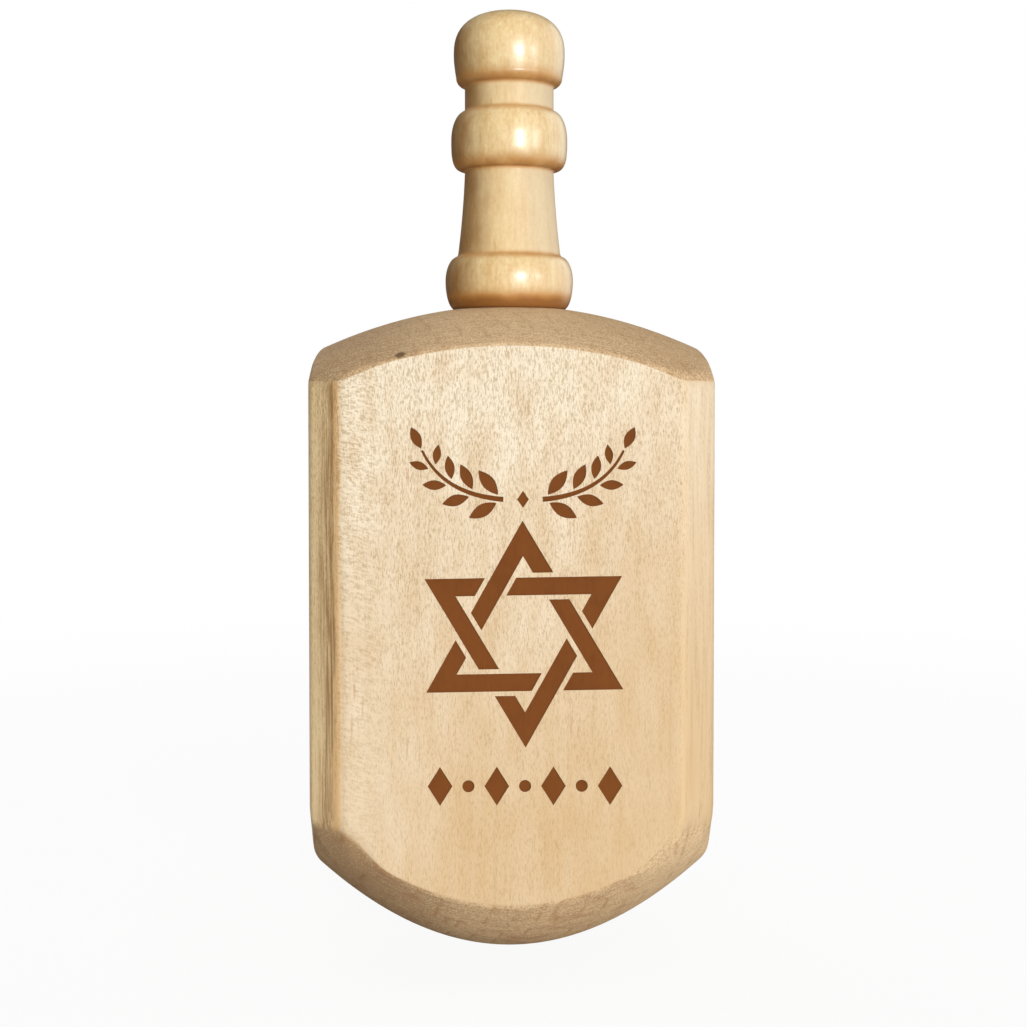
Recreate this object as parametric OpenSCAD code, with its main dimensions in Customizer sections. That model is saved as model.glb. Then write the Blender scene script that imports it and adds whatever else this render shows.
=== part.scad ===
// Wooden dreidel: a square block with turned ends and a turned handle whose tenon is glued in the block.
// The origin is the spinning tip and +Z runs up the spin axis. The front flat faces -Y. Millimetres.

/* [Block] */
// Width of the block across two opposite flats
block_w = 28.5; // [26:0.5:34]
// Height from the spinning tip to the top of the crown, before its seat is cut
block_h = 48.7; // [42:0.1:60]
// Leg of the chamfer on each upright corner
corner_chamfer = 2.4; // [1:0.1:4]
// Radius of curvature of the turned bottom at the spinning tip
tip_curve_r = 15.5; // [13:0.1:20]
// Radius of curvature of the turned crown at its top
crown_curve_r = 31; // [26:0.5:45]

/* [Base bead] */
// Largest radius of the bead that stands on the block
base_bead_r = 4.9; // [4.6:0.05:5.8]
// Height of that bead
base_bead_h = 4.05; // [3:0.05:6]
// Radius of the foot on which the handle is seated
foot_r = 4.15; // [4:0.05:4.4]

/* [Shaft] */
// Radius of the shaft where it leaves the base bead
shaft_low_r = 3.95; // [3.75:0.05:4.05]
// Radius of the shaft under the middle bead
shaft_top_r = 3.4; // [3:0.05:3.7]
// Length of the shaft between the two beads
shaft_h = 6.6; // [4:0.1:10]

/* [Middle bead] */
// Largest radius of the middle bead
mid_bead_r = 4.45; // [4:0.05:5.2]
// Height of the middle bead
mid_bead_h = 4.45; // [3.5:0.05:7]

/* [Neck] */
// Radius of the neck between the middle bead and the knob
neck_r = 3.4; // [2.8:0.05:3.8]
// Length of the neck
neck_h = 1.95; // [1:0.05:4]

/* [Knob] */
// Largest radius of the knob
knob_r = 4.25; // [4:0.05:5.2]
// Height of the knob
knob_h = 5.65; // [4:0.05:8]

/* [Joint] */
// Diameter of the tenon under the handle
tenon_d = 6; // [4:0.1:7]
// Length of the tenon below the handle's foot
tenon_l = 11; // [8:0.5:16]
// Chamfer at the end of the tenon
tenon_chamfer = 0.6; // [0.3:0.1:1]
// Gap all round the tenon that the glue fills
glue_gap = 0.1; // [0.05:0.05:0.2]
// Room for spare glue between the end of the tenon and the shoulder of the drilled hole
glue_well = 0.8; // [0.4:0.1:2]
// Width of the flat seat on the crown outside the handle's foot
seat_margin = 0.1; // [0.05:0.05:0.4]

/* [Hidden] */
$fn = 96;

// How much of a bead's height lies above its widest ring, and how square its two shoulders are
base_top_share = 0.46;
mid_top_share = 0.48;
knob_top_share = 0.57;
round_shoulder_share = 2;
crown_shoulder_share = 2.5;
square_shoulder_share = 3.2;
// How far the shaft is drawn in at its waist, as a part of the difference between its two radii
waist_share = 0.14;
// Where the knob's slow swell starts, as a part of its largest radius
knob_foot_share = 0.955;
// Radius of the small round under the knob, as a part of the knob's height
knob_lip_share = 0.11;
// Angle of the drill's point
drill_point = 118;
// Straight steps in each curve of the outlines
curve_steps = 14;
shoulder_steps = 10;
// How far a cut runs past the face that it opens
cut_overrun = 0.5;

// Heights of the seat and of each ring of the handle, counted up from the tip
half_w = block_w / 2;
seat_r = foot_r + seat_margin;
seat_z = block_h - seat_r * seat_r / (2 * crown_curve_r);
shaft_z = seat_z + base_bead_h;
mid_z = shaft_z + shaft_h;
neck_z = mid_z + mid_bead_h;
knob_z = neck_z + neck_h;
handle_top = knob_z + knob_h;

// The turned ends are drawn a little past the corners of the block, so its upright faces stay flat
turn_r = norm([half_w, half_w - corner_chamfer]) + cut_overrun;

// Heights of the two turned ends at a distance r from the axis
function tip_z(r) = r * r / (2 * tip_curve_r);
function crown_z(r) = block_h - r * r / (2 * crown_curve_r);

// Half of a bead, from the ring at its edge to its widest ring. A squareness of 2 gives an ellipse
function shoulder(edge_r, wide_r, edge_z, wide_z, squareness) = [
    for (i = [0 : shoulder_steps])
        let (a = 90 * i / shoulder_steps)
        [
            edge_r + (wide_r - edge_r) * pow(sin(a), 2 / squareness),
            wide_z + (edge_z - wide_z) * pow(cos(a), 2 / squareness)
        ]
];

function backwards(points) = [for (i = [len(points) - 1 : -1 : 0]) points[i]];

// A bead on its lower and upper edge rings
function bead(low_r, wide_r, top_r, low_z, wide_z, top_z, low_square, top_square) = concat(
    shoulder(low_r, wide_r, low_z, wide_z, low_square),
    backwards(shoulder(top_r, wide_r, top_z, wide_z, top_square))
);

// The shaft tapers upwards and is drawn in a little at its waist
function shaft_curve() = [
    for (i = [1 : shoulder_steps - 1])
        let (t = i / shoulder_steps)
        [
            shaft_low_r + (shaft_top_r - shaft_low_r) * (t + 4 * waist_share * t * (1 - t)),
            shaft_z + shaft_h * t
        ]
];

// The knob: a small round lip, a slow swell to the widest ring and a crowned top that ends on the axis
function knob_curve() =
    let (
        lip = knob_h * knob_lip_share,
        side_r = knob_r * knob_foot_share,
        side_z = knob_z + lip,
        wide_z = handle_top - knob_h * knob_top_share
    )
    concat(
        [[neck_r, knob_z]],
        shoulder(side_r - lip, side_r, knob_z, side_z, round_shoulder_share),
        [
            for (i = [1 : shoulder_steps])
                let (t = i / shoulder_steps)
                [side_r + (knob_r - side_r) * sin(90 * t), side_z + (wide_z - side_z) * t]
        ],
        backwards(shoulder(0, knob_r, handle_top, wide_z, crown_shoulder_share))
    );

module block_section() {
    polygon([
        for (side = [0 : 3])
            for (end = [-1, 1])
                let (x = half_w, y = end * (half_w - corner_chamfer), a = 90 * side)
                [x * cos(a) - y * sin(a), x * sin(a) + y * cos(a)]
    ]);
}

module turned_envelope() {
    rotate_extrude()
        polygon(concat(
            [for (i = [0 : curve_steps]) let (r = turn_r * i / curve_steps) [r, tip_z(r)]],
            [
                for (i = [0 : curve_steps])
                    let (r = turn_r + (seat_r - turn_r) * i / curve_steps)
                    [r, crown_z(r)]
            ],
            [[0, seat_z]]
        ));
}

module drilled_hole() {
    hole_r = tenon_d / 2 + glue_gap;
    point_h = hole_r / tan(drill_point / 2);
    hole_z = seat_z - tenon_l - glue_well;
    translate([0, 0, hole_z])
        cylinder(r = hole_r, h = tenon_l + glue_well + cut_overrun);
    translate([0, 0, hole_z - point_h])
        cylinder(r1 = 0, r2 = hole_r, h = point_h);
}

module block() {
    color("burlywood")
        difference() {
            intersection() {
                linear_extrude(height = block_h)
                    block_section();
                turned_envelope();
            }
            drilled_hole();
        }
}

module handle() {
    tenon_r = tenon_d / 2;
    base_wide_z = shaft_z - base_bead_h * base_top_share;
    mid_wide_z = neck_z - mid_bead_h * mid_top_share;
    color("wheat")
        rotate_extrude()
            polygon(concat(
                [
                    [0, seat_z - tenon_l],
                    [tenon_r - tenon_chamfer, seat_z - tenon_l],
                    [tenon_r, seat_z - tenon_l + tenon_chamfer],
                    [tenon_r, seat_z]
                ],
                bead(
                    foot_r, base_bead_r, shaft_low_r,
                    seat_z, base_wide_z, shaft_z,
                    round_shoulder_share, round_shoulder_share
                ),
                shaft_curve(),
                bead(
                    shaft_top_r, mid_bead_r, neck_r,
                    mid_z, mid_wide_z, neck_z,
                    square_shoulder_share, round_shoulder_share
                ),
                knob_curve()
            ));
}

block();
handle();
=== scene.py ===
import math

import bmesh
import bpy
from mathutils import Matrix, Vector


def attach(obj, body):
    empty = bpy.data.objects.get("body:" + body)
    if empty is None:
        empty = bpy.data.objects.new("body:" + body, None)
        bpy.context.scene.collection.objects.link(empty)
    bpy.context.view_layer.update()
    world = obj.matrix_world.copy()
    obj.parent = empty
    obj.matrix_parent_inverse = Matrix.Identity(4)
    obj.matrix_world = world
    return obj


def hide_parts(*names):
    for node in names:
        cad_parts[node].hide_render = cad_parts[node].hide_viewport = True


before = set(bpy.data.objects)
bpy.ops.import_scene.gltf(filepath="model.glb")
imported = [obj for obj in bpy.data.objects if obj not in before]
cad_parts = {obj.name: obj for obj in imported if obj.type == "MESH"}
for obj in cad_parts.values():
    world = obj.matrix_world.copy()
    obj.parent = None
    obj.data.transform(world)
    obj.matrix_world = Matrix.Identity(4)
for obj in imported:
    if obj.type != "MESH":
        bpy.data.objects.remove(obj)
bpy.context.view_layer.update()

mm = 0.001
scene = bpy.context.scene
scene.view_settings.view_transform = "Standard"


# Node helpers

def plug(tree, socket, value):
    if isinstance(value, bpy.types.NodeSocket):
        tree.links.new(value, socket)
    else:
        socket.default_value = value


def addNode(tree, kind, inputs=None, output=0, **settings):
    node = tree.nodes.new("ShaderNode" + kind)
    for key, value in settings.items():
        setattr(node, key, value)
    for key, value in (inputs or {}).items():
        plug(tree, node.inputs[key], value)
    return node.outputs[output]


def calc(tree, operation, a, b=0.0, c=0.0, clamp=False):
    return addNode(tree, "Math", {0: a, 1: b, 2: c}, operation=operation, use_clamp=clamp)


def times(tree, a, b):
    return calc(tree, "MULTIPLY", a, b)


def plus(tree, first, *others):
    total = first
    for other in others:
        total = calc(tree, "ADD", total, other)
    return total


def centred(tree, noise, gain):  # a noise that swings evenly about zero
    return times(tree, calc(tree, "SUBTRACT", noise, 0.5), gain)


def vectorCalc(tree, operation, a, b):
    return addNode(tree, "VectorMath", {0: a, 1: b}, operation=operation)


def lengthOf(tree, vector):
    return addNode(tree, "VectorMath", {0: vector}, output="Value", operation="LENGTH")


def splitVector(tree, vector):
    node = tree.nodes.new("ShaderNodeSeparateXYZ")
    tree.links.new(vector, node.inputs[0])
    return node.outputs


def spread(tree, value, fromLow, fromHigh, toLow=0.0, toHigh=1.0, smooth=True):
    return addNode(
        tree, "MapRange",
        {"Value": value, "From Min": fromLow, "From Max": fromHigh, "To Min": toLow, "To Max": toHigh},
        interpolation_type="SMOOTHSTEP" if smooth else "LINEAR",
    )


def along(tree, value, start, end, toLow=0.0, toHigh=1.0, smooth=True):  # a spread with places in millimetres
    return spread(tree, value, start * mm, end * mm, toLow, toHigh, smooth)


def mixValue(tree, factor, first, second):
    return addNode(tree, "Mix", {0: factor, 2: first, 3: second})


def mixColour(tree, factor, first, second, mode="MIX"):
    node = tree.nodes.new("ShaderNodeMix")
    node.data_type = "RGBA"
    node.blend_type = mode
    node.clamp_result = True
    plug(tree, node.inputs[0], factor)
    plug(tree, node.inputs[6], first)  # sockets 6 and 7 are the two colours
    plug(tree, node.inputs[7], second)
    return node.outputs[2]


def grainNoise(tree, place, perMetre, detail=2.0, roughness=0.5, distortion=0.0, output=0):
    scaled = addNode(tree, "Mapping", {"Vector": place, "Scale": perMetre})
    return addNode(
        tree, "TexNoise",
        {"Vector": scaled, "Scale": 1.0, "Detail": detail, "Roughness": roughness, "Distortion": distortion},
        output=output,
    )


def bumpFrom(tree, height, strength, depth):
    return addNode(tree, "Bump", {"Height": height, "Strength": strength, "Distance": depth * mm})


def emptyTree(owner):
    owner.use_nodes = True
    owner.node_tree.nodes.clear()
    return owner.node_tree


def showSurface(tree, shader, output="OutputMaterial"):
    out = tree.nodes.new("ShaderNode" + output)
    tree.links.new(shader, out.inputs["Surface"])


def srgb(red, green, blue):
    def linear(level):
        level /= 255
        return level / 12.92 if level <= 0.04045 else ((level + 0.055) / 1.055) ** 2.4
    return linear(red), linear(green), linear(blue), 1.0


# Camera: close to the piece and nearly level, with the eye just under the shoulders of the block

cameraSpec = {
    "azimuth": -1.1,
    "sideways": 0.29,
    "distance": 124.6,
    "height": 42.0,
    "tiltDegrees": 1.71,
    "lens": 56.62,
    "sensor": 36.0,
    "shiftDown": 0.07,
    "nearest": 5,
    "farthest": 20000,
}


def makeCamera(spec):
    data = bpy.data.cameras.new("photoCamera")
    data.lens = spec["lens"]
    data.sensor_width = spec["sensor"]
    data.shift_y = -spec["shiftDown"]
    data.clip_start = spec["nearest"] * mm
    data.clip_end = spec["farthest"] * mm
    camera = bpy.data.objects.new("photoCamera", data)
    scene.collection.objects.link(camera)
    turn = math.radians(spec["azimuth"])
    out, across = spec["distance"] * mm, spec["sideways"] * mm
    camera.location = (
        out * math.sin(turn) + across * math.cos(turn),
        across * math.sin(turn) - out * math.cos(turn),
        spec["height"] * mm,
    )
    camera.rotation_euler = (math.radians(90 - spec["tiltDegrees"]), 0, turn)
    scene.camera = camera


makeCamera(cameraSpec)
print("camera ready")


# Light and floor: softboxes that all look at one point, sizes and distances in millimetres

lightSpec = {
    "target": (0, 0, 45),
    "distance": 550,
    "softboxes": {
        "key": {"azimuth": 20, "elevation": 7.5, "size": (110, 78), "watts": 1.98, "glints": True},
        "side": {"azimuth": 52, "elevation": 8, "size": (100, 90), "watts": 0.45, "glints": True},
        "fill": {"azimuth": -10, "elevation": 6, "size": (350, 350), "watts": 0.52, "glints": False},
        "top": {"azimuth": 15, "elevation": 76, "size": (420, 420), "watts": 1.1, "glints": False},
        "rim": {"azimuth": 120, "elevation": 14, "size": (560, 560), "watts": 1.0, "glints": True},
        "back": {"azimuth": -155, "elevation": 20, "size": (420, 420), "watts": 1.8, "glints": False},
        "left": {"azimuth": -100, "elevation": 8, "size": (420, 420), "watts": 0.4, "glints": False},
    },
    "ambient": 0.05,
}
floorSpec = {
    "radius": 1500,
    "segments": 96,
    "paperNear": (0.72, 0.72, 0.71, 1),
    "paperFar": (0.3, 0.3, 0.3, 1),
    "whiteNear": 0.93,
    "fadeFrom": 40,
    "fadeTo": 200,
}


def makeSoftbox(name, spec, target, distance):
    data = bpy.data.lights.new(name, "AREA")
    data.shape = "RECTANGLE"
    data.size = spec["size"][0] * mm
    data.size_y = spec["size"][1] * mm
    data.energy = spec["watts"]
    light = bpy.data.objects.new(name, data)
    scene.collection.objects.link(light)
    turn = math.radians(spec["azimuth"])
    rise = math.radians(spec["elevation"])
    away = Vector((math.sin(turn) * math.cos(rise), -math.cos(turn) * math.cos(rise), math.sin(rise)))
    light.location = (Vector(target) + away * distance) * mm
    light.rotation_euler = away.to_track_quat("Z", "Y").to_euler()
    light.visible_camera = False
    light.visible_glossy = spec["glints"]


def makeWorld(ambient):
    world = bpy.data.worlds.new("studio")
    scene.world = world
    tree = emptyTree(world)
    seen = addNode(tree, "LightPath", output="Is Camera Ray")
    level = spread(tree, seen, 0, 1, ambient, 1.0, smooth=False)
    white = addNode(tree, "Background", {"Color": (1, 1, 1, 1), "Strength": level})
    showSurface(tree, white, "OutputWorld")


def makeFloor(spec):
    mesh = bpy.data.meshes.new("floor")
    work = bmesh.new()
    bmesh.ops.create_circle(work, cap_ends=True, segments=spec["segments"], radius=spec["radius"] * mm)
    work.to_mesh(mesh)
    work.free()
    floor = bpy.data.objects.new("floor", mesh)
    scene.collection.objects.link(floor)
    material = bpy.data.materials.new("paleFloor")
    tree = emptyTree(material)
    distance = lengthOf(tree, addNode(tree, "TexCoord", output="Object"))
    white = along(tree, distance, spec["fadeFrom"], spec["fadeTo"], spec["whiteNear"], 1.0)
    glowing = times(tree, white, addNode(tree, "LightPath", output="Is Camera Ray"))
    away = along(tree, distance, spec["fadeFrom"], spec["fadeTo"])
    paperColour = mixColour(tree, away, spec["paperNear"], spec["paperFar"])
    paper = addNode(tree, "BsdfDiffuse", {"Color": paperColour})
    glow = addNode(tree, "Emission", {"Color": (1, 1, 1, 1), "Strength": 1.0})
    showSurface(tree, addNode(tree, "MixShader", {0: glowing, 1: paper, 2: glow}))
    mesh.materials.append(material)
    floor.visible_glossy = False


for lampName, lamp in lightSpec["softboxes"].items():
    makeSoftbox(lampName + "Softbox", lamp, lightSpec["target"], lightSpec["distance"])
makeWorld(lightSpec["ambient"])
makeFloor(floorSpec)
print("light and floor ready")


# Block: a chamfered square section between two turned ends, with hand-eased edges, in millimetres

blockSpec = {
    "width": 28.5,
    "height": 48.7,
    "chamfer": 2.4,
    "tipCurve": 15.5,
    "crownCurve": 31.0,
    "seatRadius": 4.25,
    "boreRadius": 3.1,
    "boreDepth": 11.8,
    "drillPoint": 118,
    "cornerRound": 0.6,
    "easeFlat": 0.3,
    "easeLow": 2.2,
    "easeHigh": 0.7,
    "easeFrom": 16.5,
    "easeTo": 18.3,
    "flatSteps": 44,
    "chamferSteps": 5,
    "cornerSteps": 5,
    "easeSteps": 6,
    "endSteps": 30,
    "smoothAngle": 32,
    "normalWeight": 90,
}


def tipHeight(radius):
    return radius ** 2 / (2 * blockSpec["tipCurve"])


def crownHeight(radius):
    return blockSpec["height"] - radius ** 2 / (2 * blockSpec["crownCurve"])


def easedCorner(before, corner, after, steps):  # a short curve that replaces a sharp corner
    points = []
    for i in range(steps + 1):
        t = i / steps
        points.append(before * (1 - t) ** 2 + corner * 2 * t * (1 - t) + after * t ** 2)
    return points


def blockOutline(spec):
    half = spec["width"] / 2
    near = half - spec["chamfer"]
    corners = []
    for side in range(4):
        turn = math.radians(90 * side)
        for end in (-near, near):
            corners.append(Vector((
                half * math.cos(turn) - end * math.sin(turn),
                half * math.sin(turn) + end * math.cos(turn),
            )))
    points = []
    for i, corner in enumerate(corners):
        last, after = corners[i - 1], corners[(i + 1) % len(corners)]
        before = corner + (last - corner).normalized() * spec["cornerRound"]
        beyond = corner + (after - corner).normalized() * spec["cornerRound"]
        points += easedCorner(before, corner, beyond, spec["cornerSteps"])
        nextStart = after + (corner - after).normalized() * spec["cornerRound"]
        steps = spec["flatSteps"] if i % 2 == 0 else spec["chamferSteps"]
        points += [beyond.lerp(nextStart, k / steps) for k in range(1, steps)]
    return points


def easeAt(spec, reach, most):  # the edges are sanded rounder towards the four corners
    share = min(max((reach - spec["easeFrom"]) / (spec["easeTo"] - spec["easeFrom"]), 0), 1)
    return spec["easeFlat"] + (most - spec["easeFlat"]) * share ** 2 * (3 - 2 * share)


def blockProfile(spec, reach):  # radius and height pairs from the tip out, up and back in to the bore
    ease = easeAt(spec, reach, spec["easeLow"])
    rows = []
    for i in range(1, spec["endSteps"] + 1):
        radius = (reach - ease) * i / spec["endSteps"]
        rows.append((radius, tipHeight(radius)))
    low, high = tipHeight(reach), crownHeight(reach)
    begin, corner, stop = Vector(rows[-1]), Vector((reach, low)), Vector((reach, low + ease))
    rows += [tuple(point) for point in easedCorner(begin, corner, stop, spec["easeSteps"])[1:]]
    ease = easeAt(spec, reach, spec["easeHigh"])
    inner = Vector((reach - ease, crownHeight(reach - ease)))
    begin, corner = Vector((reach, high - ease)), Vector((reach, high))
    rows += [tuple(point) for point in easedCorner(begin, corner, inner, spec["easeSteps"])]
    for i in range(1, spec["endSteps"] + 1):
        radius = inner.x + (spec["seatRadius"] - inner.x) * i / spec["endSteps"]
        rows.append((radius, crownHeight(radius)))
    seat = crownHeight(spec["seatRadius"])
    rows.append((spec["boreRadius"], seat))
    rows.append((spec["boreRadius"], seat - spec["boreDepth"]))
    return rows


def makeMesh(name, vertices, faces, materials):
    mesh = bpy.data.meshes.new(name)
    mesh.from_pydata([tuple(c * mm for c in v) for v in vertices], [], faces)
    mesh.validate()
    work = bmesh.new()
    work.from_mesh(mesh)
    bmesh.ops.recalc_face_normals(work, faces=work.faces)
    work.to_mesh(mesh)
    work.free()
    for material in materials:
        mesh.materials.append(material)
    piece = bpy.data.objects.new(name, mesh)
    scene.collection.objects.link(piece)
    return piece


def blockMesh(spec, material):
    outline = blockOutline(spec)
    count = len(outline)
    vertices = [(0, 0, 0)]
    for point in outline:
        ray = point.normalized()
        for radius, height in blockProfile(spec, point.length):
            vertices.append((ray.x * radius, ray.y * radius, height))
    rows = (len(vertices) - 1) // count
    drillAngle = math.radians(spec["drillPoint"] / 2)
    floorHeight = crownHeight(spec["seatRadius"]) - spec["boreDepth"]
    vertices.append((0, 0, floorHeight - spec["boreRadius"] / math.tan(drillAngle)))
    last = len(vertices) - 1
    faces = []
    for j in range(count):
        here, there = 1 + j * rows, 1 + (j + 1) % count * rows
        faces.append((0, there, here))
        faces += [(here + i, there + i, there + i + 1, here + i + 1) for i in range(rows - 1)]
        faces.append((here + rows - 1, there + rows - 1, last))
    return makeMesh("turnedBlock", vertices, faces, [material])


# Wood of the block. The tone runs from tan at 0 to cream at 1, and every figure in the wood adds to it, as do
# the painted light and shade.
# A noise has its repeats per metre, detail, roughness and distortion. Places on the block are in millimetres.
# Where four numbers stand together, the result goes from the third to the fourth between the first two.

blockWood = {
    "tan": srgb(211, 178, 132),
    "cream": srgb(239, 224, 199),
    # painted highlight colour along the eased edges
    "edgeHighlight": srgb(240, 210, 162),
    # painted bounce light colour of the left chamfer
    "paintedBounceLight": srgb(253, 224, 174),
    # painted shade colour of the strip beside the left edge
    "paintedEdgeShade": srgb(226, 174, 110),
    "lineBrown": srgb(156, 108, 56),
    "markBrown": srgb(176, 112, 50),
    "endDark": srgb(172, 138, 99),
    "endPale": srgb(226, 196, 154),
    "endRed": srgb(166, 112, 78),
    "grainDark": (0.7, 0.62, 0.5, 1),
    "grainLight": (1.3, 1.38, 1.5, 1),
    "noise": {
        "bends": ((160, 160, 45),),
        "cloud": ((120, 120, 60),),
        "short": ((12500, 12500, 2500), 2.5, 0.75),
        "long": ((3600, 3600, 150), 2, 0.55),
        "patch": ((640, 640, 220), 2, 0.5),
        "paintedGlint": ((9500, 9500, 5500), 2, 0.6),
        "feather": ((2300, 2300, 6000), 3, 0.6, 0.4),
        "ringSway": ((150, 150, 22),),
        "ringBreaks": ((700, 700, 60),),
        "darkStreaks": ((4600, 4600, 130), 3, 0.7, 0.4),
        "sway": ((260, 260, 130), 3, 0.6),
        "mark": ((4200, 4200, 420), 2, 0.6),
        "markPlaces": ((330, 330, 110),),
        "pores": ((7600, 6600, 6600), 3, 0.7),
        "rays": ((420, 5200, 900), 2, 0.6, 0.2),
        "mottle": ((420, 420, 420), 3, 0.6, 0.6),
        "rust": ((420, 420, 420), 3, 0.7, 0.8),
    },
    "gain": {
        "cloud": 0.35, "patch": 1.7, "short": 6.6, "feather": 6.0, "long": 0.55,
        "pores": 3.6, "rays": 1.1, "mottle": 0.3,
    },
    "shows": {  # the level at which each figure starts to show, and that at which it shows in full
        "chamfer": (0.1, 0.6), "front": (0.75, 0.9), "flank": (0.8, 0.95), "flankLines": (0.72, 0.95),
        "paintedGlint": (0.54, 0.72), "feather": (0.5, 0.66), "ringBreaks": (0.42, 0.66),
        "darkStreaks": (0.32, 0.66), "paintedBounceLight": (0.2, 0.8), "mark": (0.58, 0.74),
        "markPlaces": (0.52, 0.66), "rust": (0.5, 0.68), "ends": (0.2, 0.36), "roughness": (0.3, 0.7),
    },
    "rings": {"pith": (96, 14), "width": 1.65, "shift": 0.1, "sway": 0.8, "line": (0.72, 0.93, 0.99)},
    # the rise paints the upright faces paler towards the top, a painted sheen of the light from above
    "rise": {"from": 7, "to": 42, "low": 0.27, "gain": 0.54, "power": 2.5, "acrossPerMetre": -12.0},
    "heart": {"middle": 1.5, "from": 3, "to": 9, "gain": 0.42, "offset": -0.12},
    # where the figure and its painted sheen show: strongest at the top, calmer to the right and on the
    # chamfers
    "figureAndSheen": {
        "from": 17, "to": 55, "cloud": 10, "low": 0.32, "gain": 0.86, "power": 1.6,
        "calmFrom": 3, "calmTo": 9, "calm": 0.72, "turn": (-2, 2), "chamfer": (0.95, 0.45),
    },
    "feathered": {"from": -12.8, "to": -9.5, "wander": -3, "share": 0.6, "slant": 0.25, "pale": (-0.2, 0.5)},
    "stroke": {"even": 0.85, "lift": 0.22, "offset": -0.16, "paintedGlint": 0.5, "middle": 0.5},
    "longOn": (0.35, 1.5),
    "flankTone": -0.15,
    # places of the painted light and shade on the left corner, in millimetres
    "corner": {"wander": 1.3, "near": (-4, 4), "behind": 0.2, "tan": (-12.1, -11.8)},
    "edge": {"in": (0.0, 0.3), "out": (0.5, 0.9), "turn": (-1, 1), "share": (0.4, 0.15)},
    "strip": {"in": (-12.4, -12.15), "out": (-12.05, -11.75), "share": 0.65},
    "darkStreaks": {"in": (-13.7, -12.8), "out": (-12.45, -12.1), "least": 0.04, "share": (0.15, 0.88)},
    "lineShare": {"flats": 0.1, "flanks": 0.4, "crown": 0.3, "foot": 0.5},
    "markShare": 0.35,
    # painted light and shade across the ends: the crown darkest on the left and palest in the middle, the
    # bottom darker on the left and paler on the right
    "crown": {"left": (-12, -3, 0.28, 0.65), "right": (3, 12, 1, 0.6)},
    "bottom": {"left": (-11, -2, -0.05, 0.6), "right": (5, 12, 0, 0.3)},
    "footTurn": (-0.5, 0.1),
    "red": {"crown": 0.12, "bottomMore": 0.35},
    "ragged": 0.06,
    "upper": {"from": 42.3, "to": 43.3, "ragged": 1.2, "share": 0.6},
    "bend": 1.1,
    "roughness": (0.66, 0.54),
    "specular": 0.25,
    "bump": (0.3, 0.03),
}
pinKnot = {
    "place": (-7.7, -13.85, 44.65),
    "size": (0.45, 0.55, 0.5),
    "colour": srgb(92, 64, 38),
    "edge": (0.5, 1.1),
    "share": 0.8,
}


def bentPlace(tree, place, noise, reach):  # slow bends of the fibres
    bend = grainNoise(tree, place, *noise, output="Color")
    shift = vectorCalc(tree, "SUBTRACT", bend, (0.5, 0.5, 0.5))
    shift = addNode(tree, "VectorMath", {0: shift, "Scale": reach * mm}, operation="SCALE")
    return vectorCalc(tree, "ADD", place, shift)


def ringLines(tree, place, bent, spec):  # thin dark lines where one year's growth ends
    rings, noise = spec["rings"], spec["noise"]
    fromPith = vectorCalc(tree, "SUBTRACT", bent, (rings["pith"][0] * mm, rings["pith"][1] * mm, 0))
    reach = lengthOf(tree, vectorCalc(tree, "MULTIPLY", fromPith, (1, 1, 0)))
    count = calc(tree, "MULTIPLY_ADD", reach, 1 / (rings["width"] * mm), rings["shift"])
    uneven = grainNoise(tree, place, *noise["ringSway"])
    part = calc(tree, "FRACT", calc(tree, "MULTIPLY_ADD", uneven, rings["sway"], count))
    begin, peak, stop = rings["line"]
    line = times(tree, spread(tree, part, begin, peak), spread(tree, part, peak, stop, 1, 0))
    broken = grainNoise(tree, bent, *noise["ringBreaks"])
    return times(tree, line, spread(tree, broken, *spec["shows"]["ringBreaks"]))


def chamferShare(tree, facing, spec):  # 1 on the four chamfers and 0 on the flats
    sides = calc(tree, "MINIMUM", calc(tree, "ABSOLUTE", facing["X"]), calc(tree, "ABSOLUTE", facing["Y"]))
    return spread(tree, sides, *spec["shows"]["chamfer"])


def faceTone(tree, parts, bent, cloud, high, figureAndSheen, spec):  # paler at the top as a painted sheen of the light from above, and paler on the left and up the middle
    x, z = parts["X"], parts["Z"]
    rise, heart = spec["rise"], spec["heart"]
    # painted sheen: the tone rises towards the top
    up = calc(tree, "POWER", along(tree, z, rise["from"], rise["to"], smooth=False), rise["power"])
    level = calc(tree, "MULTIPLY_ADD", up, rise["gain"], rise["low"])
    fall = times(tree, x, rise["acrossPerMetre"])
    level = plus(tree, level, fall, centred(tree, cloud, spec["gain"]["cloud"]))
    outward = calc(tree, "ABSOLUTE", plus(tree, x, -heart["middle"] * mm))
    pale = times(
        tree, along(tree, outward, heart["from"], heart["to"], 1, 0),
        calc(tree, "MULTIPLY_ADD", high, heart["gain"], heart["offset"]),
    )
    patch = grainNoise(tree, bent, *spec["noise"]["patch"])
    return plus(tree, times(tree, centred(tree, patch, spec["gain"]["patch"]), figureAndSheen), level, pale)


def figureAndSheenShare(tree, x, high, chamfer, spec):  # the figure and its painted sheen are strong at the top and calmer to the right
    figureAndSheen = calc(tree, "MULTIPLY_ADD", calc(tree, "POWER", high, spec["power"]), spec["gain"], spec["low"])
    figureAndSheen = times(tree, figureAndSheen, along(tree, x, spec["calmFrom"], spec["calmTo"], 1, spec["calm"]))
    onChamfer = along(tree, x, *spec["turn"], *spec["chamfer"])
    return times(tree, figureAndSheen, spread(tree, chamfer, 0, 1, 1, onChamfer))


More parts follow.
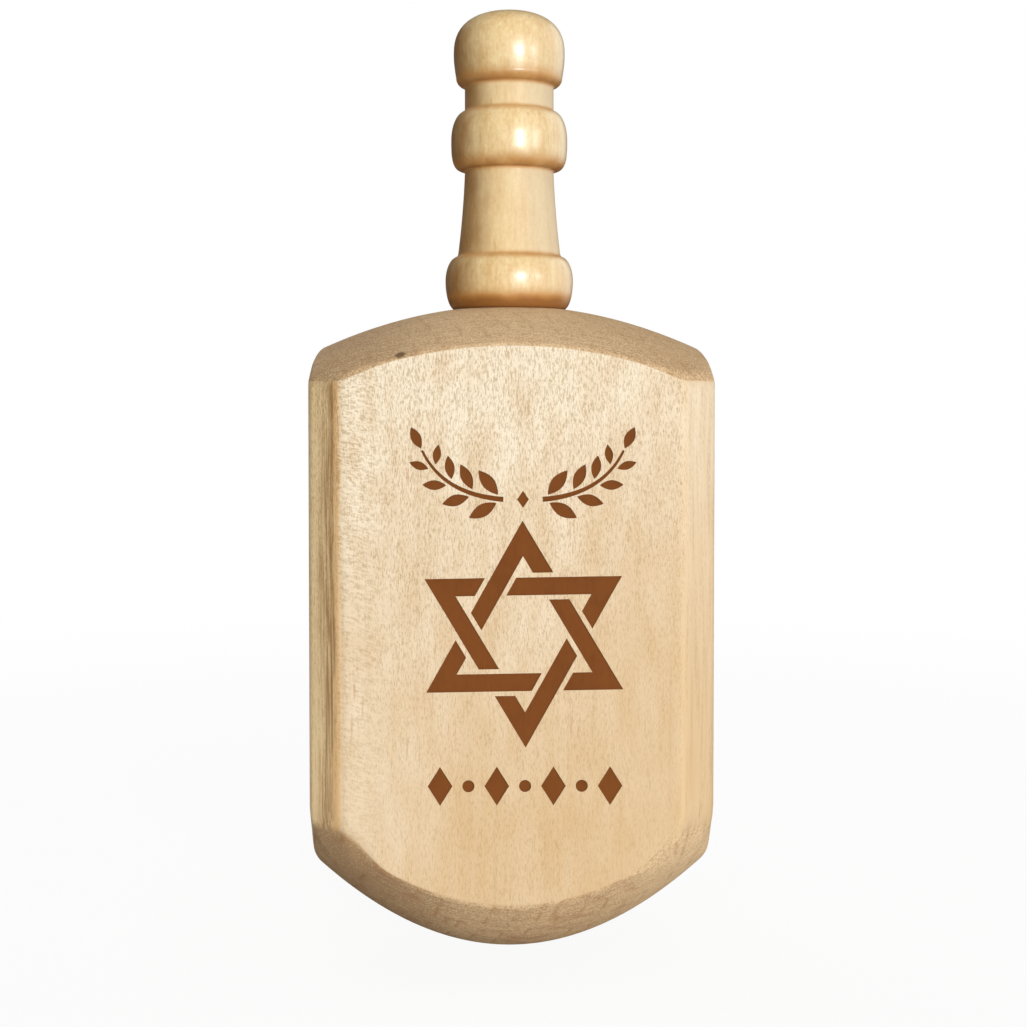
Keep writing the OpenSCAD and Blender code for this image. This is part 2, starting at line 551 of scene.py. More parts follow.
def featherGrain(tree, x, bent, cloud, front, spec):  # slanting flecks beside the left edge, and their share
    feathered = spec["feathered"]
    slope = addNode(tree, "CombineXYZ", {"Z": times(tree, x, feathered["slant"])})
    feather = grainNoise(tree, vectorCalc(tree, "ADD", bent, slope), *spec["noise"]["feather"])
    wandering = calc(tree, "MULTIPLY_ADD", cloud, feathered["wander"] * mm, x)
    leftEdge = along(tree, wandering, feathered["from"], feathered["to"], 1, 0)
    leftEdge = times(tree, leftEdge, spread(tree, front, *spec["shows"]["front"]))
    pale = spread(tree, feather, *spec["shows"]["feather"], *feathered["pale"])
    flecks = plus(tree, centred(tree, feather, spec["gain"]["feather"]), pale)
    return flecks, times(tree, leftEdge, feathered["share"])


def faceGrain(tree, place, x, bent, cloud, figureAndSheen, chamfer, front, spec):  # multiplies the colour of the face; its bright specks are painted glints of sheen
    noise, gain, stroke = spec["noise"], spec["gain"], spec["stroke"]
    short = grainNoise(tree, bent, *noise["short"])
    long = grainNoise(tree, bent, *noise["long"])
    paintedGlint = grainNoise(tree, place, *noise["paintedGlint"])
    flecks, leftEdge = featherGrain(tree, x, bent, cloud, front, spec)
    figure = mixValue(tree, leftEdge, centred(tree, short, gain["short"]), flecks)
    even = times(tree, figure, stroke["even"])
    figure = calc(tree, "MULTIPLY_ADD", calc(tree, "ABSOLUTE", figure), stroke["lift"], even)
    # painted glints: bright specks where the fibres catch the light
    glintSpecks = spread(tree, paintedGlint, *spec["shows"]["paintedGlint"], 0, stroke["paintedGlint"])
    figure = plus(tree, figure, glintSpecks, stroke["offset"])
    streaks = times(tree, centred(tree, long, gain["long"]), spread(tree, chamfer, 0, 1, *spec["longOn"]))
    grain = plus(tree, times(tree, figure, figureAndSheen), streaks, stroke["middle"])
    return mixColour(tree, grain, spec["grainDark"], spec["grainLight"]), short


def darkGrainAndShade(tree, bent, wander, near, spec):  # dark upright grain streaks down the left corner, kept to the front, where they also paint its shade
    dark = spec["darkStreaks"]
    streaks = grainNoise(tree, bent, *spec["noise"]["darkStreaks"])
    corner = times(
        tree, along(tree, wander, *dark["in"], dark["least"], 1), along(tree, wander, *dark["out"], 1, 0),
    )
    shown = spread(tree, streaks, *spec["shows"]["darkStreaks"], *dark["share"])
    return times(tree, times(tree, corner, near), shown)


def endGrain(tree, place, x, facingUp, lines, spec):  # the turned ends, with the bottom redder than the crown, and painted light and shade across them, darker on the left
    noise, gain, shows = spec["noise"], spec["gain"], spec["shows"]
    pores = grainNoise(tree, place, *noise["pores"])
    rays = grainNoise(tree, place, *noise["rays"])
    mottle = grainNoise(tree, place, *noise["mottle"])
    foot = spread(tree, facingUp, *spec["footTurn"], 1, 0)
    # painted light and shade from left to right
    crown = times(tree, along(tree, x, *spec["crown"]["left"]), along(tree, x, *spec["crown"]["right"]))
    bottom = plus(tree, along(tree, x, *spec["bottom"]["left"]), along(tree, x, *spec["bottom"]["right"]))
    level = mixValue(tree, foot, crown, bottom)
    tone = plus(
        tree, centred(tree, pores, gain["pores"]), centred(tree, rays, gain["rays"]),
        centred(tree, mottle, gain["mottle"]),
    )
    end = mixColour(tree, calc(tree, "ADD", tone, level, clamp=True), spec["endDark"], spec["endPale"])
    rust = grainNoise(tree, place, *noise["rust"])
    most = calc(tree, "MULTIPLY_ADD", foot, spec["red"]["bottomMore"], spec["red"]["crown"])
    end = mixColour(tree, spread(tree, rust, *shows["rust"], 0, most), end, spec["endRed"])
    ringShare = spread(tree, foot, 0, 1, spec["lineShare"]["crown"], spec["lineShare"]["foot"])
    end = mixColour(tree, times(tree, lines, ringShare), end, spec["lineBrown"])
    return withKnot(tree, place, end, pinKnot), pores


def withKnot(tree, place, colour, knot):  # one small dark knot on the front of the crown
    offset = vectorCalc(tree, "SUBTRACT", place, tuple(c * mm for c in knot["place"]))
    offset = vectorCalc(tree, "DIVIDE", offset, tuple(c * mm for c in knot["size"]))
    inside = spread(tree, lengthOf(tree, offset), *knot["edge"], knot["share"], 0)
    return mixColour(tree, inside, colour, knot["colour"])


def cornerLightAndShade(tree, side, place, parts, bent, chamfer, shade, spec):  # painted light and shade on the corners of the upright faces, with their grain
    x, shows = parts["X"], spec["shows"]
    corner, edge, strip = spec["corner"], spec["edge"], spec["strip"]
    near = along(tree, parts["Y"], *corner["near"], 1, corner["behind"])  # the painted light and shade are most on the front left corner
    sway = grainNoise(tree, place, *spec["noise"]["sway"])
    wander = plus(tree, x, centred(tree, sway, corner["wander"] * mm))
    # painted bounce light: the outer left chamfer paler, as if lit from the white surroundings
    bounceLitCorner = times(tree, along(tree, x, *corner["tan"], 1, 0), spread(tree, chamfer, *shows["paintedBounceLight"]))
    side = mixColour(tree, times(tree, bounceLitCorner, near), side, spec["paintedBounceLight"])
    # painted highlight along the eased edges between flats and chamfers, stronger on the left
    litEdge = times(tree, spread(tree, chamfer, *edge["in"]), spread(tree, chamfer, *edge["out"], 1, 0))
    litEdge = times(tree, litEdge, along(tree, x, *edge["turn"], *edge["share"]))
    side = mixColour(tree, litEdge, side, spec["edgeHighlight"])
    # painted shade: a warm dark strip beside the left edge of the front face
    warm = times(tree, along(tree, wander, *strip["in"]), along(tree, x, *strip["out"], 1, 0))
    side = mixColour(tree, times(tree, times(tree, warm, near), strip["share"]), side, spec["paintedEdgeShade"])
    side = mixColour(tree, 1.0, side, shade, mode="MULTIPLY")
    return mixColour(tree, darkGrainAndShade(tree, bent, wander, near, spec), side, spec["lineBrown"])


def sideMarks(tree, side, place, bent, lines, flank, spec):  # ring lines and a few brown flecks
    shows, lineShare = spec["shows"], spec["lineShare"]
    share = spread(tree, flank, *shows["flankLines"], lineShare["flats"], lineShare["flanks"])
    side = mixColour(tree, times(tree, lines, share), side, spec["lineBrown"])
    mark = grainNoise(tree, bent, *spec["noise"]["mark"])
    where = grainNoise(tree, place, *spec["noise"]["markPlaces"])
    marked = times(tree, spread(tree, mark, *shows["mark"]), spread(tree, where, *shows["markPlaces"]))
    return mixColour(tree, times(tree, marked, spec["markShare"]), side, spec["markBrown"])


def endShare(tree, height, facingUp, pores, chamfer, spec):  # 1 on the turned ends and 0 on the upright faces
    upper = spec["upper"]
    ragged = plus(tree, calc(tree, "ABSOLUTE", facingUp), centred(tree, pores, spec["ragged"]))
    above = calc(tree, "MULTIPLY_ADD", centred(tree, pores, upper["ragged"]), mm, height)
    above = times(tree, along(tree, above, upper["from"], upper["to"]), upper["share"])
    return calc(tree, "MAXIMUM", spread(tree, ragged, *spec["shows"]["ends"]), times(tree, above, chamfer))


def woodOfBlock(spec):
    material = bpy.data.materials.new("paleBlockWood")
    tree = emptyTree(material)
    place = addNode(tree, "TexCoord", output="Object")
    parts = splitVector(tree, place)
    facing = splitVector(tree, addNode(tree, "NewGeometry", output="Normal"))
    bent = bentPlace(tree, place, spec["noise"]["bends"], spec["bend"])
    lines = ringLines(tree, place, bent, spec)
    flank = calc(tree, "ABSOLUTE", facing["X"])
    front = times(tree, facing["Y"], -1.0)
    chamfer = chamferShare(tree, facing, spec)
    cloud = grainNoise(tree, place, *spec["noise"]["cloud"])
    wavy = calc(tree, "MULTIPLY_ADD", cloud, spec["figureAndSheen"]["cloud"] * mm, parts["Z"])
    high = along(tree, wavy, spec["figureAndSheen"]["from"], spec["figureAndSheen"]["to"], smooth=False)
    figureAndSheen = figureAndSheenShare(tree, parts["X"], high, chamfer, spec["figureAndSheen"])
    tone = faceTone(tree, parts, bent, cloud, high, figureAndSheen, spec)
    shade, short = faceGrain(tree, place, parts["X"], bent, cloud, figureAndSheen, chamfer, front, spec)
    warmer = spread(tree, flank, *spec["shows"]["flank"], 0, spec["flankTone"])  # on the two side flats
    side = mixColour(tree, calc(tree, "ADD", tone, warmer, clamp=True), spec["tan"], spec["cream"])
    side = cornerLightAndShade(tree, side, place, parts, bent, chamfer, shade, spec)
    side = sideMarks(tree, side, place, bent, lines, flank, spec)
    end, pores = endGrain(tree, place, parts["X"], facing["Z"], lines, spec)
    turned = endShare(tree, parts["Z"], facing["Z"], pores, chamfer, spec)
    showSurface(tree, addNode(tree, "BsdfPrincipled", {
        "Base Color": mixColour(tree, turned, side, end),
        "Roughness": spread(tree, short, *spec["shows"]["roughness"], *spec["roughness"]),
        "Normal": bumpFrom(tree, mixValue(tree, turned, short, pores), *spec["bump"]),
        "Specular IOR Level": spec["specular"],
    }))
    return material


burntSpec = {
    "colour": srgb(123, 71, 31),
    "dark": srgb(107, 61, 26),
    "fibre": ((4200, 4200, 1500), 2, 0.6),
    "soot": ((500, 500, 300),),
    "fibreDark": (0.6, 0.3, 0, 0.25),
    "sootDark": (0.4, 0.7, 0, 0.3),
    "roughness": 0.7,
    "specular": 0.08,
    "bump": (0.2, 0.02),
}


def burntWood(spec):
    material = bpy.data.materials.new("burntEngraving")
    tree = emptyTree(material)
    place = addNode(tree, "TexCoord", output="Object")
    fibre = grainNoise(tree, place, *spec["fibre"])
    soot = grainNoise(tree, place, *spec["soot"])
    shade = plus(tree, spread(tree, fibre, *spec["fibreDark"]), spread(tree, soot, *spec["sootDark"]))
    showSurface(tree, addNode(tree, "BsdfPrincipled", {
        "Base Color": mixColour(tree, shade, spec["colour"], spec["dark"]),
        "Roughness": spec["roughness"],
        "Normal": bumpFrom(tree, fibre, *spec["bump"]),
        "Specular IOR Level": spec["specular"],
    }))
    return material


# Engraving: outlines in millimetres on a flat, x to the right of its middle line and y up from the tip

starSpec = {
    "place": (0.775, 25.475),
    "inner": 3.91,
    "bar": 1.22,
    "gap": 0.32,
    "turn": 0.8,
}


def crossing(angleA, distanceA, angleB, distanceB):  # of two lines, by their normals' angles and distances
    a, b = math.radians(angleA), math.radians(angleB)
    fall = math.cos(a) * math.sin(b) - math.sin(a) * math.cos(b)
    x = (distanceA * math.sin(b) - distanceB * math.sin(a)) / fall
    y = (distanceB * math.cos(a) - distanceA * math.cos(b)) / fall
    return Vector((x, y))


def starOutlines(spec):  # six corner pieces, each long arm over one bar and stopped under the next
    edge, bar, gap = spec["inner"], spec["bar"], spec["gap"]
    pieces = []
    for k in range(6):
        corner = 30 + 60 * k + spec["turn"]
        short, long = corner - 60, corner + 60
        pieces.append([
            crossing(short, edge, corner, edge + gap),
            crossing(short, edge, long, edge),
            crossing(long, edge, long + 60, edge - bar - gap),
            crossing(long, edge - bar, long + 60, edge - bar - gap),
            crossing(short, edge - bar, long, edge - bar),
            crossing(short, edge - bar, corner, edge + gap),
        ])
    return placed(pieces, spec["place"])


def placed(outlines, place, scale=1.0):
    return [[point * scale + Vector(place) for point in outline] for outline in outlines]


def mirrored(outlines):
    return [[Vector((-point.x, point.y)) for point in reversed(outline)] for outline in outlines]


sprigSpec = {
    "place": (0.7, 35.9),
    "start": (1.35, -1.15),
    "end": (6.9, 2.2),
    "sag": 1.35,
    "stem": (0.36, 0.16),
    "leafPairs": 4,
    "leafSize": (2.15, 0.88),
    "leafTurn": 40,
    "leafGap": 0.1,
    "leafBack": 0.1,
    "firstLeaf": 0.6,
    "shrink": 0.12,
    "fullness": 0.9,
    "tipShare": (0.75, 0.8),
    "tipGap": 0.15,
    "middle": 0.62,
    "middleShape": (1.3, 1.9),
    "steps": 16,
}


def pointing(degrees):
    return Vector((math.cos(math.radians(degrees)), math.sin(math.radians(degrees))))


def leaf(base, angle, length, width, spec):  # two equal arcs that meet in a point at each end
    forward = pointing(angle)
    across = Vector((-forward.y, forward.x))
    steps = spec["steps"]
    points = []
    for side in (1, -1):
        for i in range(steps):
            t = i / steps if side == 1 else 1 - i / steps
            bulge = math.sin(math.pi * t) ** spec["fullness"]
            points.append(base + forward * length * t + across * side * width / 2 * bulge)
    return points


def sprigOutlines(spec):  # a leafy twig on each side of a small lozenge
    start, end = Vector(spec["start"]), Vector(spec["end"])
    bow = Vector((spec["sag"], -spec["sag"]))

    def stemPoint(t):
        return start.lerp(end, t) + bow * 2 * t * (1 - t)

    def stemAngle(t):
        slope = (end - start) + bow * 2 * (1 - 2 * t)
        return math.degrees(math.atan2(slope.y, slope.x))

    upper, lower = [], []
    for i in range(spec["steps"] + 1):
        t = i / spec["steps"]
        half = (spec["stem"][0] + (spec["stem"][1] - spec["stem"][0]) * t) / 2
        across = pointing(stemAngle(t) + 90) * half
        upper.append(stemPoint(t) + across)
        lower.append(stemPoint(t) - across)
    twig = [lower + upper[::-1]]
    length, width = spec["leafSize"]
    reach = spec["stem"][0] / 2 + spec["leafGap"]
    for i in range(spec["leafPairs"]):
        t = (i + spec["firstLeaf"]) / spec["leafPairs"]
        size = 1 - spec["shrink"] * i
        for side in (1, -1):
            base = stemPoint(t - spec["leafBack"]) + pointing(stemAngle(t) + side * 90) * reach
            twig.append(leaf(base, stemAngle(t) + side * spec["leafTurn"], length * size, width * size, spec))
    tip = stemPoint(1) + pointing(stemAngle(1)) * spec["tipGap"]
    twig.append(leaf(tip, stemAngle(1), length * spec["tipShare"][0], width * spec["tipShare"][1], spec))
    wide, high = spec["middleShape"]
    middle = [lozenge((0, spec["start"][1]), spec["middle"] * wide, spec["middle"] * high)]
    return placed(twig + mirrored(twig) + middle, spec["place"])


def lozenge(middle, width, height):
    x, y = middle
    across, up = width / 2, height / 2
    return [Vector(point) for point in ((x, y + up), (x - across, y), (x, y - up), (x + across, y))]


def roundDot(middle, radius, steps=24):
    x, y = middle
    turns = [2 * math.pi * i / steps for i in range(steps)]
    return [Vector((x + radius * math.cos(turn), y + radius * math.sin(turn))) for turn in turns]


rowSpec = {
    "place": (0.85, 15.0),
    "lozenges": 4,
    "pitch": 3.9,
    "lozenge": (1.7, 2.7),
    "dot": 0.42,
}


def rowOutlines(spec):  # lozenges with a dot between each two
    outlines = []
    count = spec["lozenges"]
    for i in range(count):
        x = (i - (count - 1) / 2) * spec["pitch"]
        outlines.append(lozenge((x, 0), *spec["lozenge"]))
        if i < count - 1:
            outlines.append(roundDot((x + spec["pitch"] / 2, 0), spec["dot"]))
    return placed(outlines, spec["place"])


gameSigns = {
    "middle": (0, 24.6),
    "scale": 1.22,
    "cornerRound": 0.45,
    "tall": 10,
    "signs": {  # the side of the block, then the sign's width and outlines
        1: (9.0, [
            [(0.6, 10), (9, 10), (9, 0), (7.2, 0), (7.2, 8.2), (0.6, 8.2)],
            [(1.2, 6.3), (3.0, 6.3), (3.0, 0), (1.2, 0)],
        ]),
        2: (8.2, [[
            (2.4, 10), (7.2, 10), (7.2, 0), (5.4, 0), (5.4, 2.6),
            (3.2, 0), (0.9, 0), (5.4, 5.1), (5.4, 8.2), (2.4, 8.2),
        ]]),
        3: (7.4, [[
            (2.4, 10), (6.4, 10), (6.4, 0), (1.0, 0),
            (1.0, 1.8), (4.6, 1.8), (4.6, 8.2), (2.4, 8.2),
        ]]),
    },
}


def softened(outline, ease, steps=5, partOfSide=2.2):  # every corner of the outline drawn with a short curve
    points = []
    for i, corner in enumerate(outline):
        last, after = outline[i - 1], outline[(i + 1) % len(outline)]
        reach = min(ease, (last - corner).length / partOfSide, (after - corner).length / partOfSide)
        before = corner + (last - corner).normalized() * reach
        beyond = corner + (after - corner).normalized() * reach
        points += easedCorner(before, corner, beyond, steps)
    return points


def signOutlines(spec, side):
    width, outlines = spec["signs"][side]
    drawn = []
    for outline in outlines:
        corners = [Vector((x - width / 2, y - spec["tall"] / 2)) for x, y in outline]
        drawn.append(softened(corners, spec["cornerRound"]))
    return placed(drawn, spec["middle"], spec["scale"])


engraveSpec = {"depth": 0.08, "above": 0.6}


def faceCutter(outlines, side, material):  # prisms that reach into one of the four flats
    half = blockSpec["width"] / 2
    turn = math.radians(90 * side)
    vertices, faces = [], []
    for outline in outlines:
        first = len(vertices)
        count = len(outline)
        for deep in (half + engraveSpec["above"], half - engraveSpec["depth"]):
            for x, z in outline:
                vertices.append((
                    x * math.cos(turn) + deep * math.sin(turn),
                    x * math.sin(turn) - deep * math.cos(turn),
                    z,
                ))
        faces.append(tuple(range(first, first + count)))
        faces.append(tuple(reversed(range(first + count, first + 2 * count))))
        for i in range(count):
            j = (i + 1) % count
            faces.append((first + i, first + j, first + count + j, first + count + i))
    return makeMesh("cutter", vertices, faces, [material])


def engrave(piece, cutter):
    cut = piece.modifiers.new("engraving", "BOOLEAN")
    cut.operation = "DIFFERENCE"
    cut.object = cutter
    cut.solver = "EXACT"
    cut.material_mode = "TRANSFER"
    freeze(piece)
    bpy.data.objects.remove(cutter)


def freeze(piece):  # applies what is on the modifier stack
    graph = bpy.context.evaluated_depsgraph_get()
    made = bpy.data.meshes.new_from_object(piece.evaluated_get(graph))
    piece.modifiers.clear()
    piece.data = made


def smoothByAngle(piece, degrees):
    piece.data.shade_smooth()
    piece.data.set_sharp_from_angle(angle=math.radians(degrees))


def keepFlatsFlat(piece, weight):
    weighted = piece.modifiers.new("flatNormals", "WEIGHTED_NORMAL")
    weighted.keep_sharp = True
    weighted.weight = weight


woodMaterial = woodOfBlock(blockWood)
burntMaterial = burntWood(burntSpec)
block = blockMesh(blockSpec, woodMaterial)
frontOutlines = starOutlines(starSpec) + sprigOutlines(sprigSpec) + rowOutlines(rowSpec)
engrave(block, faceCutter(frontOutlines, 0, burntMaterial))
for signSide in gameSigns["signs"]:
    engrave(block, faceCutter(signOutlines(gameSigns, signSide), signSide, burntMaterial))
smoothByAngle(block, blockSpec["smoothAngle"])
keepFlatsFlat(block, blockSpec["normalWeight"])
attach(block, "root")
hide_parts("block")
print("block ready:", len(block.data.polygons), "faces")


# Handle: one turned spindle under gloss lacquer, in millimetres

handleSpec = {
    "footRadius": 4.15,
    "baseBeadRadius": 4.9,
    "baseBeadHeight": 4.05,
    "shaftLowRadius": 3.95,
    "shaftTopRadius": 3.4,
    "shaftHeight": 6.6,
    "midBeadRadius": 4.45,
    "midBeadHeight": 4.45,
    "neckRadius": 3.4,
    "neckHeight": 1.95,
    "knobRadius": 4.25,
    "knobHeight": 5.65,
    "tenonRadius": 3.0,
    "tenonLength": 11.0,
    "tenonChamfer": 0.6,
    "aboveWidest": {"base": 0.46, "mid": 0.48, "knob": 0.57},
    "waist": 0.14,
    "knobFoot": 0.955,
    "knobLip": 0.11,
    "squareness": {"round": 2, "mid": 3.2, "knob": 2.5},
    "fillet": 0.22,
    "filletSteps": 6,
    "steps": 28,
    "around": 144,
    "smoothAngle": 50,
}


def shoulder(edgeRadius, wideRadius, edgeHeight, wideHeight, squareness, steps):
    points = []
    for i in range(steps + 1):
        turn = math.pi / 2 * i / steps
        points.append(Vector((
            edgeRadius + (wideRadius - edgeRadius) * math.sin(turn) ** (2 / squareness),
            wideHeight + (edgeHeight - wideHeight) * max(math.cos(turn), 0) ** (2 / squareness),
        )))
    return points


def joined(lower, upper, fillet, steps):  # two stretches of the profile, with lacquer in their corner
    corner = (lower[-1] + upper[0]) / 2
    below = [point for point in lower if (point - corner).length > fillet]
    above = [point for point in upper if (point - corner).length > fillet]
    return below + easedCorner(below[-1], corner, above[0], steps)[1:-1] + above


def handleProfile(spec):  # from the end of the tenon up to the top of the knob
    steps, square = spec["steps"], spec["squareness"]
    seat = crownHeight(blockSpec["seatRadius"])
    shaft = seat + spec["baseBeadHeight"]
    mid = shaft + spec["shaftHeight"]
    neck = mid + spec["midBeadHeight"]
    knob = neck + spec["neckHeight"]
    top = knob + spec["knobHeight"]
    grooves = {"seat": seat, "shaft": shaft, "mid": mid, "neck": neck, "knob": knob}
    tenonEnd = seat - spec["tenonLength"]
    tenon = [
        Vector((spec["tenonRadius"] - spec["tenonChamfer"], tenonEnd)),
        Vector((spec["tenonRadius"], tenonEnd + spec["tenonChamfer"])),
        Vector((spec["tenonRadius"], seat)),
    ]
    widest = shaft - spec["baseBeadHeight"] * spec["aboveWidest"]["base"]
    wide = spec["baseBeadRadius"]
    baseBead = shoulder(spec["footRadius"], wide, seat, widest, square["round"], steps)
    baseBead += shoulder(spec["shaftLowRadius"], wide, shaft, widest, square["round"], steps)[-2::-1]
    taper = []
    for i in range(steps + 1):
        t = i / steps
        drawn = t + 4 * spec["waist"] * t * (1 - t)
        radius = spec["shaftLowRadius"] + (spec["shaftTopRadius"] - spec["shaftLowRadius"]) * drawn
        taper.append(Vector((radius, shaft + spec["shaftHeight"] * t)))
    widest = neck - spec["midBeadHeight"] * spec["aboveWidest"]["mid"]
    wide = spec["midBeadRadius"]
    midBead = shoulder(spec["shaftTopRadius"], wide, mid, widest, square["mid"], steps)
    midBead += shoulder(spec["neckRadius"], wide, neck, widest, square["round"], steps)[-2::-1]
    throat = [Vector((spec["neckRadius"], neck + spec["neckHeight"] * i / steps)) for i in range(steps + 1)]
    lip = spec["knobHeight"] * spec["knobLip"]
    sideRadius = spec["knobRadius"] * spec["knobFoot"]
    widest = top - spec["knobHeight"] * spec["aboveWidest"]["knob"]
    head = shoulder(sideRadius - lip, sideRadius, knob, knob + lip, square["round"], steps)
    for i in range(1, steps):
        t = i / steps
        radius = sideRadius + (spec["knobRadius"] - sideRadius) * math.sin(math.pi / 2 * t)
        head.append(Vector((radius, knob + lip + (widest - knob - lip) * t)))
    head += shoulder(0, spec["knobRadius"], top, widest, square["knob"], steps)[:0:-1]
    profile = tenon + baseBead
    for stretch in (taper, midBead, throat, head):
        profile = joined(profile, stretch, spec["fillet"], spec["filletSteps"])
    return profile, grooves, tenonEnd, top


lacquerSpec = {
    "pools": {  # pooled amber lacquer and painted shade in each groove: how far they reach above and below it in millimetres, and how strong they are
        "seat": (1.1, 0.1, 1.55),
        "shaft": (0.25, 0.4, 0.7),
        "mid": (0.95, 0.25, 0.82),
        "neck": (0.22, 0.4, 0.65),
        "knob": (1.0, 0.25, 0.82),
    },
    "dullStretches": (("shaft", "mid"), ("neck", "knob")),
    "dullEdge": 0.25,
}


# amber of lacquer pooled in the grooves, with painted shade there; at the seat it is mostly a painted contact
# shadow
def poolAndGrooveShade(height, grooves, spec):
    amount = 0.0
    for name, (above, below, strength) in spec["pools"].items():
        gap = height - grooves[name]
        width = below if gap < 0 else above
        amount = max(amount, strength * math.exp(-(gap / width) ** 2))
    return amount


def lacquerGloss(height, grooves, spec):  # the straight stretches soaked the lacquer up and shine less
    gloss = 1.0
    for low, high in spec["dullStretches"]:
        inside = min(height - grooves[low], grooves[high] - height)
        gloss = min(gloss, 1 - min(max(inside / spec["dullEdge"] + 0.5, 0), 1))
    return gloss


def handleMesh(spec, lacquer, material):
    profile, grooves, low, top = handleProfile(spec)
    around = spec["around"]
    vertices = []
    for radius, height in profile:
        for j in range(around):
            turn = 2 * math.pi * j / around
            vertices.append((radius * math.cos(turn), radius * math.sin(turn), height))
    rows = len(profile)
    vertices += [(0, 0, low), (0, 0, top)]
    lowest, highest = len(vertices) - 2, len(vertices) - 1
    faces = []
    for i in range(rows - 1):
        for j in range(around):
            k = (j + 1) % around
            faces.append((i * around + j, i * around + k, (i + 1) * around + k, (i + 1) * around + j))
    for j in range(around):
        k = (j + 1) % around
        faces.append((lowest, k, j))
        faces.append((highest, (rows - 1) * around + j, (rows - 1) * around + k))
    piece = makeMesh("turnedHandle", vertices, faces, [material])
    poolAndShade = piece.data.attributes.new("poolAndGrooveShade", "FLOAT", "POINT")
    gloss = piece.data.attributes.new("lacquerGloss", "FLOAT", "POINT")
    for i, vertex in enumerate(piece.data.vertices):
        poolAndShade.data[i].value = poolAndGrooveShade(vertex.co.z / mm, grooves, lacquer)
        gloss.data[i].value = lacquerGloss(vertex.co.z / mm, grooves, lacquer)
    return piece


handleWood = {
    "warm": srgb(218, 173, 107),
    "pale": srgb(246, 222, 170),
    "bare": srgb(226, 200, 154),
    "fleck": srgb(172, 122, 62),
    # the next two colours are painted shade on the -X and +X sides of the handle
    "leftShadeColour": (0.46, 0.31, 0.15, 1),
    "rightShadeColour": srgb(205, 190, 165),
    "amber": srgb(190, 128, 54),
    # painted shadow colour in the deepest grooves, mostly at the seat
    "deep": srgb(136, 84, 34),
    "noise": {
        "bends": ((160, 160, 45),),
        "fibre": ((3600, 3600, 620), 2, 0.6),
        "streak": ((900, 900, 80), 2, 0.5),
        "dash": ((3600, 3600, 520), 1, 0.5),
        "speck": ((4200, 4200, 3000), 2, 0.6),
        "blotch": ((620, 620, 420), 2, 0.6),
    },
    "gain": {"fibre": 0.85, "streak": 1.1, "speck": 0.85, "blotch": 0.7},
    "bend": 1.1,
    "middle": 0.6,
    "flecks": (0.31, 0.2, 0, 0.4),
    "bareShare": 0.35,
    "shadeWander": 0.3,
    "leftShade": (-1.0, -0.3),
    "rightShade": (-0.25, 0.75),
    "rightShadeShare": (0.5, 0.25),
    "unevenPools": (0.25, 0.75, 0.85, 1.1),
    "amberPoolAndShade": (0.05, 0.95, 0, 0.85),
    "grooveShadow": (0.6, 1.35, 0, 0.8),
    "roughness": (0.62, 0.42),
    "dryBump": (0.5, 0.03),
    "glossBump": (0.12, 0.03),
    "coat": (0.12, 0.75),
    "coatOnPools": (0.2, 0.8, 1, 0.2),
    "coatRoughness": 0.25,
    "coatIor": 1.5,
}


def handleTone(tree, place, bent, spec):  # the wood's own colour, with its fibres, specks and brown dashes
    noise, gain = spec["noise"], spec["gain"]
    fibre = grainNoise(tree, bent, *noise["fibre"])
    streak = grainNoise(tree, bent, *noise["streak"])
    dash = grainNoise(tree, bent, *noise["dash"])
    speck = grainNoise(tree, place, *noise["speck"])
    blotch = grainNoise(tree, place, *noise["blotch"])
    tone = plus(
        tree, centred(tree, fibre, gain["fibre"]), centred(tree, streak, gain["streak"]),
        centred(tree, speck, gain["speck"]), centred(tree, blotch, gain["blotch"]),
    )
    colour = mixColour(tree, calc(tree, "ADD", tone, spec["middle"], clamp=True), spec["warm"], spec["pale"])
    colour = mixColour(tree, spread(tree, dash, *spec["flecks"]), colour, spec["fleck"])
    return colour, fibre, speck, blotch


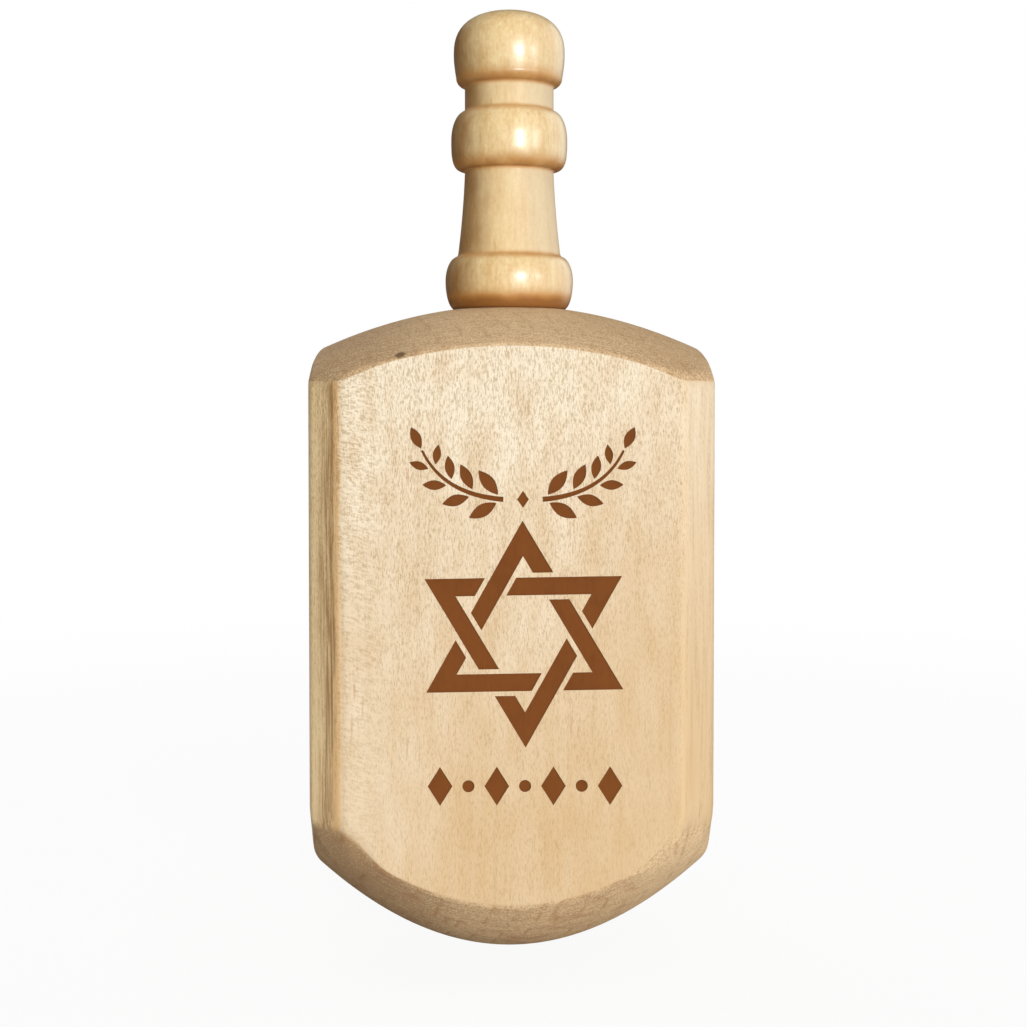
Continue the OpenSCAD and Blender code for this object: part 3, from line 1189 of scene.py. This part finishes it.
def paintedSideShade(tree, colour, gloss, blotch, spec):  # painted shade: browner where it turns to -X, away from the light, and greyer on the +X side
    facing = splitVector(tree, addNode(tree, "NewGeometry", output="Normal"))
    turned = plus(tree, facing["X"], centred(tree, blotch, spec["shadeWander"]))
    leftShade = mixColour(tree, spread(tree, turned, *spec["leftShade"]), spec["leftShadeColour"], (1, 1, 1, 1))
    colour = mixColour(tree, 1.0, colour, leftShade, mode="MULTIPLY")
    rightShade = times(tree, spread(tree, turned, *spec["rightShade"]), spread(tree, gloss, 0, 1, *spec["rightShadeShare"]))
    return mixColour(tree, rightShade, colour, spec["rightShadeColour"])


def woodOfHandle(spec):
    material = bpy.data.materials.new("lacqueredHandleWood")
    tree = emptyTree(material)
    place = addNode(tree, "TexCoord", output="Object")
    bent = bentPlace(tree, place, spec["noise"]["bends"], spec["bend"])
    gloss = addNode(tree, "Attribute", output="Fac", attribute_name="lacquerGloss")
    poolAndShade = addNode(tree, "Attribute", output="Fac", attribute_name="poolAndGrooveShade")
    colour, fibre, speck, blotch = handleTone(tree, place, bent, spec)
    colour = mixColour(tree, spread(tree, gloss, 0, 1, spec["bareShare"], 0), colour, spec["bare"])
    colour = paintedSideShade(tree, colour, gloss, blotch, spec)
    # pooled amber lacquer with painted shade in the grooves, and a painted contact shadow where they are
    # deepest
    uneven = times(tree, poolAndShade, spread(tree, blotch, *spec["unevenPools"]))
    colour = mixColour(tree, spread(tree, uneven, *spec["amberPoolAndShade"]), colour, spec["amber"])
    colour = mixColour(tree, spread(tree, uneven, *spec["grooveShadow"]), colour, spec["deep"])
    dry = bumpFrom(tree, speck, *spec["dryBump"])
    smooth = bumpFrom(tree, fibre, *spec["glossBump"])
    relief = addNode(tree, "Mix", {0: gloss, 4: dry, 5: smooth}, output=1, data_type="VECTOR")
    coat = spread(tree, gloss, 0, 1, *spec["coat"], smooth=False)
    showSurface(tree, addNode(tree, "BsdfPrincipled", {
        "Base Color": colour,
        "Normal": relief,
        "Roughness": spread(tree, gloss, 0, 1, *spec["roughness"], smooth=False),
        "Coat Weight": times(tree, coat, spread(tree, poolAndShade, *spec["coatOnPools"])),
        "Coat Roughness": spec["coatRoughness"],
        "Coat IOR": spec["coatIor"],
        "Coat Normal": relief,
    }))
    return material


handle = handleMesh(handleSpec, lacquerSpec, woodOfHandle(handleWood))
smoothByAngle(handle, handleSpec["smoothAngle"])
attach(handle, "root")
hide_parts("handle")
print("handle ready:", len(handle.data.polygons), "faces")
